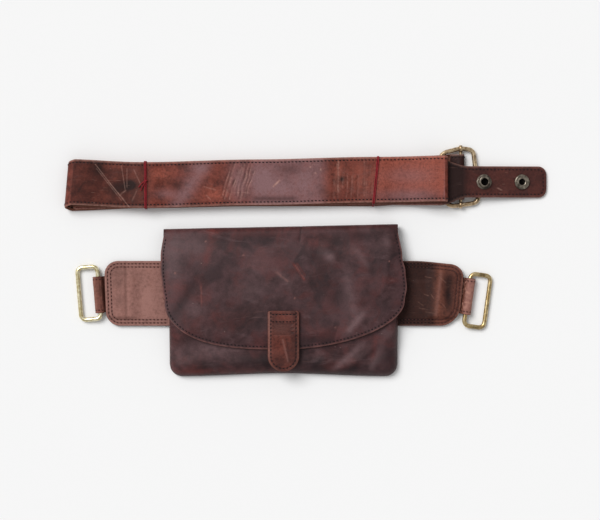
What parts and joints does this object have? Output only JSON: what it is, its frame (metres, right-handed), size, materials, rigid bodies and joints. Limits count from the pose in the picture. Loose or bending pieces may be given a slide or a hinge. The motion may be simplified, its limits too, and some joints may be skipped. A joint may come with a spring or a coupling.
{
  "type": "leather belt pouch with its folded strap",
  "caption": "Flat leather belt pouch with a fold-over flap, closure tab and ringed wings, lying beside its tied, folded waist strap.",
  "frame": {"origin": "middle of the waist band's underside, behind the pocket, on the surface that the part lies on", "axes": "+X along the waist band to the wearer's left, +Y towards the pouch's mouth and fold, +Z out of the pouch's front"},
  "size_m": [0.435, 0.2085, 0.0211],
  "materials": {
    "pouch_leather": "waxed pull-up leather, dark brown, scuffed",
    "wing_leather": "waxed pull-up leather, red brown",
    "strap_leather": "waxed pull-up leather, creased and scuffed",
    "antique_brass": "antiqued wire, rubbed bright on the crowns",
    "snap_metal": "blackened, with rubbed rims",
    "tie_thread": "waxed red thread"
  },
  "bodies": {
    "root": {"band_back": "wing_leather", "band_front": "wing_leather", "back_panel": "pouch_leather", "front_panel": "pouch_leather", "flap": "pouch_leather", "closure_tab": "pouch_leather", "closure_snap": "snap_metal", "keeper_left": "wing_leather", "keeper_right": "wing_leather", "belt_strap": "strap_leather", "buckle_frame": "antique_brass", "buckle_bar": "antique_brass", "snap_stud": "snap_metal", "snap_cap_stud": "snap_metal", "snap_socket": "snap_metal", "snap_cap_socket": "snap_metal", "strap_tie_left": "tie_thread", "strap_tie_right": "tie_thread"},
    "left_ring": {"ring_left": "antique_brass"},
    "right_ring": {"ring_right": "antique_brass"}
  },
  "joints": [
    {"name": "ring_left_swing", "type": "hinge", "parent": "root", "child": "left_ring", "pos_m": [-0.1663, -0.0012, 0.00375], "axis": [-0.0837, 0.9965, 0], "range_deg": [0, 150]},
    {"name": "ring_right_swing", "type": "hinge", "parent": "root", "child": "right_ring", "pos_m": [0.1663, -0.0027, 0.00375], "axis": [-0.1392, -0.9903, 0], "range_deg": [0, 150]}
  ]
}
